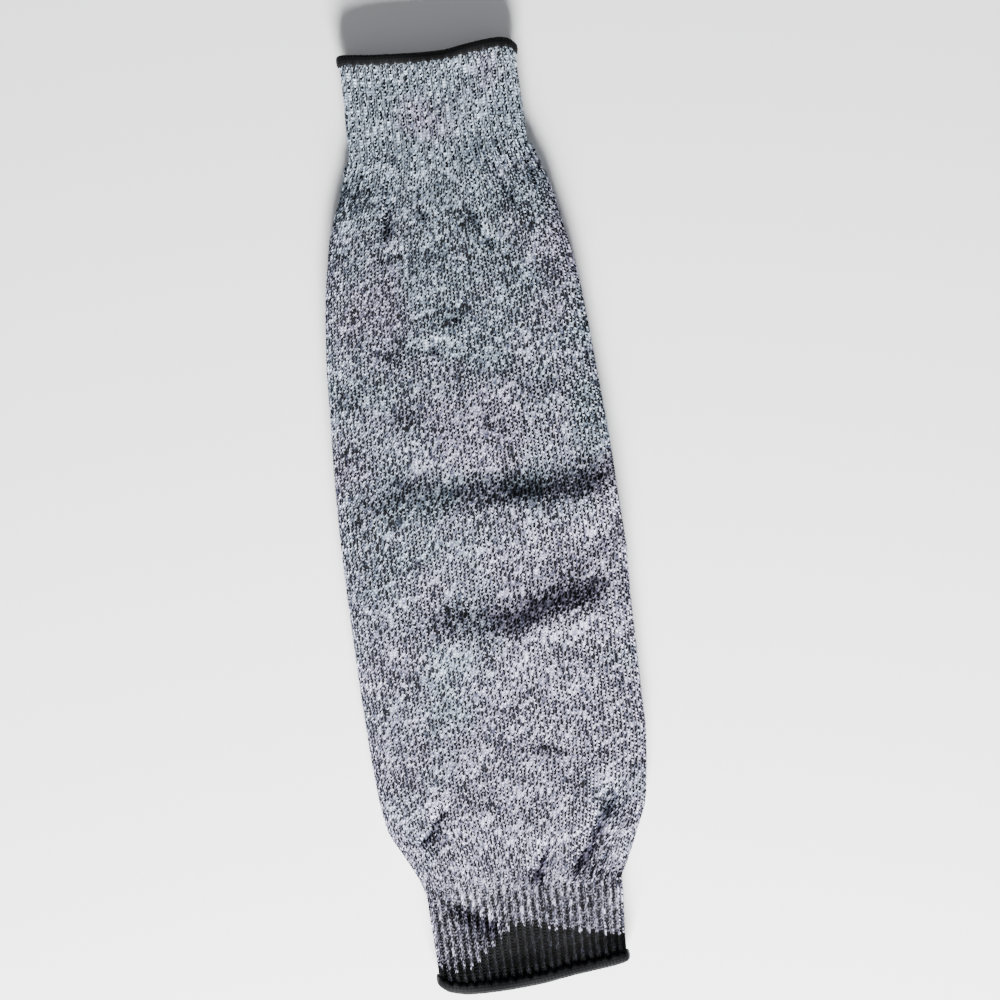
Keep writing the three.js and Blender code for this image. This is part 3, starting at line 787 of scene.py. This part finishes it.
def cone_tint(tree, place):
    """Blotches some centimetres wide, where the yarns of two cones take turns."""
    blotch = add(tree, "TexNoise", {"Vector": place, "Scale": BLOTCH_SCALE, "Detail": 3})
    split = tree.nodes.new("ShaderNodeSeparateXYZ")
    tree.links.new(place, split.inputs[0])
    drift = {0: split.outputs[1], 1: BLOTCH_DRIFT, 2: blotch}
    blotch = add(tree, "Math", drift, operation="MULTIPLY_ADD")
    low, high = BLOTCH_RANGE
    blotch = add(tree, "MapRange", {"Value": blotch, "From Min": low, "From Max": high})
    first, second = (linear(tint) for tint in BLOTCH_TINTS)
    return add(tree, "Mix", {0: blotch, 6: first, 7: second}, output=2, data_type="RGBA")


COURSE_ROUND = 0.34  # of a course from its groove to the yarn's crest
WALE_ROUND = 0.24


def yarn_round(tree, wale, course):
    """The round of each leg: 0 in the grooves between courses and wales, 1 on its crest."""
    along = add(tree, "Math", {0: course, 1: 0.5}, operation="PINGPONG")
    along = {"Value": along, "From Max": COURSE_ROUND}
    along = add(tree, "MapRange", along, interpolation_type="SMOOTHSTEP")
    across = add(tree, "Math", {0: wale, 1: 0.5}, operation="PINGPONG")
    across = {"Value": across, "From Max": WALE_ROUND}
    across = add(tree, "MapRange", across, interpolation_type="SMOOTHSTEP")
    return add(tree, "Math", {0: along, 1: across}, operation="MULTIPLY")


SUNK_WALE = 2.5  # the middle of a rib's sunk wale
RIB_SHADE_EDGES = (0.08, 0.27)  # of a rib, from the middle of its sunk wale
ARM_SHADE = {"From Min": -2, "From Max": 10, "To Min": 0.12, "To Max": 1.0}
WRIST_SHADE = {"From Min": 248, "From Max": 258, "To Min": 1.0, "To Max": 0.85}


def rib_shade(tree, wale, course):
    """The ribs' sunk wales lie in their neighbours' shade, most of all at the arm."""
    rib = {0: wale, 1: 1 / RIB_WALES, 2: -SUNK_WALE / RIB_WALES}
    rib = add(tree, "Math", rib, operation="MULTIPLY_ADD")
    rib = add(tree, "Math", {0: rib, 1: 0.5}, operation="PINGPONG")
    arm = add(tree, "MapRange", {"Value": course, **ARM_SHADE})
    wrist = add(tree, "MapRange", {"Value": course, **WRIST_SHADE})
    deepest = add(tree, "Math", {0: arm, 1: wrist}, operation="MULTIPLY")
    low, high = RIB_SHADE_EDGES
    shade = {"Value": rib, "From Min": low, "From Max": high, "To Min": deepest, "To Max": 1.0}
    return add(tree, "MapRange", shade, interpolation_type="SMOOTHSTEP")


PLY_SCALE = (5.0, 3.0, 0)
PLY_WAVES = {"Scale": 0.32, "Distortion": 1.2, "Detail": 1}
PLY_HEIGHT = 0.3  # of the yarn's round
FIBRE_SCALE = 4200  # fibres a quarter of a millimetre apart, coarser than real, so that they show
FIBRE_HEIGHT = 0.35
YARN_BUMP = {"Strength": 0.7, "Distance": 0.00018}
# Matt synthetic fibres: their loose ends take away most of the gloss
YARN_FINISH = {"Roughness": 0.88, "IOR": 1.5, "Specular IOR Level": 0.12, "Sheen Roughness": 0.5}


def yarn_bump(tree, uv, place, round_yarn):
    """Two plies twisted round each other, and the fibres on them."""
    plies = add(tree, "VectorMath", {0: uv, 1: PLY_SCALE}, operation="MULTIPLY")
    plies = {"Vector": plies, **PLY_WAVES}
    plies = add(tree, "TexWave", plies, output=1, bands_direction="DIAGONAL")
    fibres = add(tree, "TexNoise", {"Vector": place, "Scale": FIBRE_SCALE, "Detail": 2})
    height = {0: plies, 1: PLY_HEIGHT, 2: round_yarn}
    height = add(tree, "Math", height, operation="MULTIPLY_ADD")
    height = {0: fibres, 1: FIBRE_HEIGHT, 2: height}
    height = add(tree, "Math", height, operation="MULTIPLY_ADD")
    return add(tree, "Bump", {**YARN_BUMP, "Height": height})


def yarn_material(name, tones, steps, groove, sheen):
    """Knitted yarn of a dark and a light ply: its tone picks a colour, the blotches tint it, and
    painted shade darkens it in the grooves and in the ribs' sunk wales. Groove is the share of
    light that the painted shade leaves in a groove."""
    material, tree = new_material(name)
    uv, wale, course, place = coordinates(tree)
    tone = yarn_tone(tree, uv, course, place)
    colour = linear(tones[0])
    for (start, end), next_tone in zip(steps, tones[1:]):
        share = {"Value": tone, "From Min": start, "From Max": end}
        share = add(tree, "MapRange", share, interpolation_type="SMOOTHSTEP")
        blend = {0: share, 6: colour, 7: linear(next_tone)}
        colour = add(tree, "Mix", blend, output=2, data_type="RGBA")
    colour = multiply(tree, colour, cone_tint(tree, place))
    round_yarn = yarn_round(tree, wale, course)
    # Painted shade: the colour darkens in the grooves between legs and wales, and in the ribs' sunk
    # wales
    hollow = add(tree, "MapRange", {"Value": round_yarn, "To Min": groove, "To Max": 1.0})
    shade = rib_shade(tree, wale, course)
    hollow = add(tree, "Math", {0: hollow, 1: shade}, operation="MULTIPLY")
    colour = multiply(tree, colour, hollow)
    shader = {"Base Color": colour, **YARN_FINISH, "Sheen Weight": sheen}
    shader["Normal"] = yarn_bump(tree, uv, place, round_yarn)
    add_output(tree, add(tree, "BsdfPrincipled", shader))
    return material


THREAD_COLOURS = ("020203", "07080A")
THREAD_ROUND = 0.35  # of a thread from its gap to its crest
THREAD_FIBRE_SCALE = 3000
THREAD_FIBRE_RANGE = (0.35, 0.7)
THREAD_FIBRE_HEIGHT = 0.5
THREAD_BUMP = {"Strength": 0.6, "Distance": 0.0002}
THREAD_FINISH = {"Roughness": 0.7, "IOR": 1.53, "Specular IOR Level": 0.12}


def thread_material(name):
    """Overlock thread: threads lie side by side across the edge, each one twisted from
    filaments. The dark gap between two threads shows as a deeper black."""
    material, tree = new_material(name)
    _, number, _, place = coordinates(tree)
    thread = add(tree, "Math", {0: number, 1: 0.5}, operation="PINGPONG")
    thread = {"Value": thread, "From Max": THREAD_ROUND}
    thread = add(tree, "MapRange", thread, interpolation_type="SMOOTHSTEP")
    fibres = add(tree, "TexNoise", {"Vector": place, "Scale": THREAD_FIBRE_SCALE, "Detail": 3})
    low, high = THREAD_FIBRE_RANGE
    share = add(tree, "MapRange", {"Value": fibres, "From Min": low, "From Max": high})
    dark, light = (linear(code) for code in THREAD_COLOURS)
    colour = add(tree, "Mix", {0: share, 6: dark, 7: light}, output=2, data_type="RGBA")
    height = {0: fibres, 1: THREAD_FIBRE_HEIGHT, 2: thread}
    height = add(tree, "Math", height, operation="MULTIPLY_ADD")
    bump = add(tree, "Bump", {**THREAD_BUMP, "Height": height})
    shader = {"Base Color": colour, **THREAD_FINISH, "Normal": bump}
    add_output(tree, add(tree, "BsdfPrincipled", shader))
    return material


# High performance polyethylene yarn, plied with a black strand: to the eye a matt light grey
# with short black flecks that lean with the yarn's twist
MARL_TONES = ("05060B", "676C80", "F6F5FF")
MARL_STEPS = ((0.44, 0.5), (0.46, 0.7))
# the share of light that the painted shade leaves in a groove
MARL_GROOVE_SHADE = 0.36
MARL_SHEEN = 0.06
marl = yarn_material("marl_yarn", MARL_TONES, MARL_STEPS, MARL_GROOVE_SHADE, MARL_SHEEN)

# Dyed yarn with few light strands: to the eye a matt near black with faint grey flecks
CHARCOAL_TONES = ("030406", "06070A", "3A3F4A")
CHARCOAL_STEPS = ((0.4, 0.5), (0.64, 0.82))
# the share of light that the painted shade leaves in a groove
CHARCOAL_GROOVE_SHADE = 0.6
CHARCOAL_SHEEN = 0.03
charcoal = yarn_material(
    "charcoal_yarn", CHARCOAL_TONES, CHARCOAL_STEPS, CHARCOAL_GROOVE_SHADE, CHARCOAL_SHEEN
)

# Textured polyester thread: to the eye a dense black with a faint sheen along each thread
thread = thread_material("polyester_overlock_thread")


# The pieces

KNIT = knit_grid()
BODY_ROWS = (-FIRST_COURSE * ROWS_PER_COURSE, (BODY_COURSES - FIRST_COURSE) * ROWS_PER_COURSE)


SUNK_JAG = 1.3  # courses by which the charcoal reaches higher in a rib's sunk wale
UNEVEN_JAG = 0.8


def charcoal_courses():
    """The course at which each wale's yarn turns charcoal, from the arm end up: a hump in the
    middle of the front, higher in each rib's sunk wale, and uneven by a stitch."""
    wale = np.arange(WALES)
    whole = (wale + 0.5) / WALES
    left, right = CHARCOAL_BORDER[0][1], CHARCOAL_BORDER[-1][1]
    front = eased(CHARCOAL_BORDER, whole * 4 - 1)
    up = np.where(whole < 0.5, front, right + (left - right) * (whole * 2 - 1))
    station = ARM_END + OVERLOCK_WIDTH + CHARCOAL_HEIGHT * up
    jag = np.where(wale % RIB_WALES == RIB_WALES - 1, SUNK_JAG, 0)
    jag = jag + rng.uniform(-UNEVEN_JAG, UNEVEN_JAG, WALES)
    return np.rint(station / COURSE + jag).astype(int)


cell_course = FIRST_COURSE + np.arange(KNIT[0].shape[0] - 1)[:, None] // ROWS_PER_COURSE
border = np.repeat(charcoal_courses(), COLUMNS_PER_WALE)[None, :]
everywhere = np.ones((1, WALES * COLUMNS_PER_WALE), bool)
cuff_pieces = (
    ("wrist_cuff", (cell_course >= BODY_COURSES) & everywhere, marl, "marl_knit"),
    ("arm_cuff", (cell_course < 0) & (cell_course >= border), marl, "marl_knit"),
    ("charcoal_band", (cell_course < 0) & (cell_course < border), charcoal, "charcoal_knit"),
)
knit = {
    name + "_knit": wall_piece(name + "_knit", taken, yarn, name)
    for name, taken, yarn, slot in cuff_pieces
}
ALL_COLUMNS = WALES * COLUMNS_PER_WALE
SIDE_COLUMNS = SIDE_WALES * COLUMNS_PER_WALE
HALF_COLUMNS = ALL_COLUMNS // 2
knit["sleeve_body_front"] = body_piece(
    "sleeve_body_front", -SIDE_COLUMNS, HALF_COLUMNS + SIDE_COLUMNS, marl
)
knit["sleeve_body_back"] = body_piece(
    "sleeve_body_back", HALF_COLUMNS + SIDE_COLUMNS, ALL_COLUMNS - SIDE_COLUMNS, marl
)
overlock_piece("wrist_edge_overlock", WRIST_END, 1, thread)
overlock_piece("arm_edge_overlock", ARM_END, -1, thread)


# The floor, the light and the camera

FLOOR_DROP = 0.0002
FLOOR_HALF = 1.5
floor_mesh = bpy.data.meshes.new("floor")
floor_corners = np.array([(-1, -1), (1, -1), (1, 1), (-1, 1)]) * FLOOR_HALF
floor_mesh.from_pydata([(x, y, -FLOOR_DROP) for x, y in floor_corners], [], [(0, 1, 2, 3)])
floor = bpy.data.objects.new("floor", floor_mesh)
bpy.context.collection.objects.link(floor)
paper, paper_tree = new_material("white_paper_backdrop")
add_output(
    paper_tree,
    add(paper_tree, "BsdfPrincipled", {"Base Color": linear("FCFCFD"), "Roughness": 0.9}),
)
floor_mesh.materials.append(paper)


def area_light(name, place, size, power):
    """A square soft box that faces the sleeve's middle."""
    light = bpy.data.lights.new(name, "AREA")
    light.size = size
    light.energy = power
    lamp = bpy.data.objects.new(name, light)
    lamp.location = place
    level = math.hypot(place[0], place[1])
    lamp.rotation_euler = (math.atan2(level, place[2]), 0, math.atan2(place[0], -place[1]))
    bpy.context.collection.objects.link(lamp)


# Low beyond the arm end, as the photograph's folds show, with their dark sides to the wrist
KEY_PLACE = (-0.08, -1.12, 0.5)
KEY_SIZE = 0.5
KEY_POWER = 122
STUDIO_FILL = 0.3
area_light("key_soft_box", KEY_PLACE, KEY_SIZE, KEY_POWER)

world = bpy.data.worlds.new("studio")
bpy.context.scene.world = world
world.use_nodes = True
background = world.node_tree.nodes["Background"]
background.inputs["Color"].default_value = linear("F2F5FA")
background.inputs["Strength"].default_value = STUDIO_FILL

CAMERA_HEIGHT = 1.0
CAMERA_TURN = -6.926  # degrees, because the sleeve leans to the left in the photograph
VIEW_MIDDLE = (8.37, 4.78)  # the place in millimetres that the photograph's middle shows
MEAN_HEIGHT = 8
PHOTO_WIDTH = 385.44  # millimetres across the photograph
SENSOR = 36
camera_data = bpy.data.cameras.new("camera")
camera_data.sensor_width = SENSOR
camera_data.lens = SENSOR * CAMERA_HEIGHT / (PHOTO_WIDTH * MM)
camera = bpy.data.objects.new("camera", camera_data)
camera.location = (VIEW_MIDDLE[0] * MM, VIEW_MIDDLE[1] * MM, CAMERA_HEIGHT + MEAN_HEIGHT * MM)
camera.rotation_euler = (0, 0, math.radians(CAMERA_TURN))
bpy.context.collection.objects.link(camera)
bpy.context.scene.camera = camera
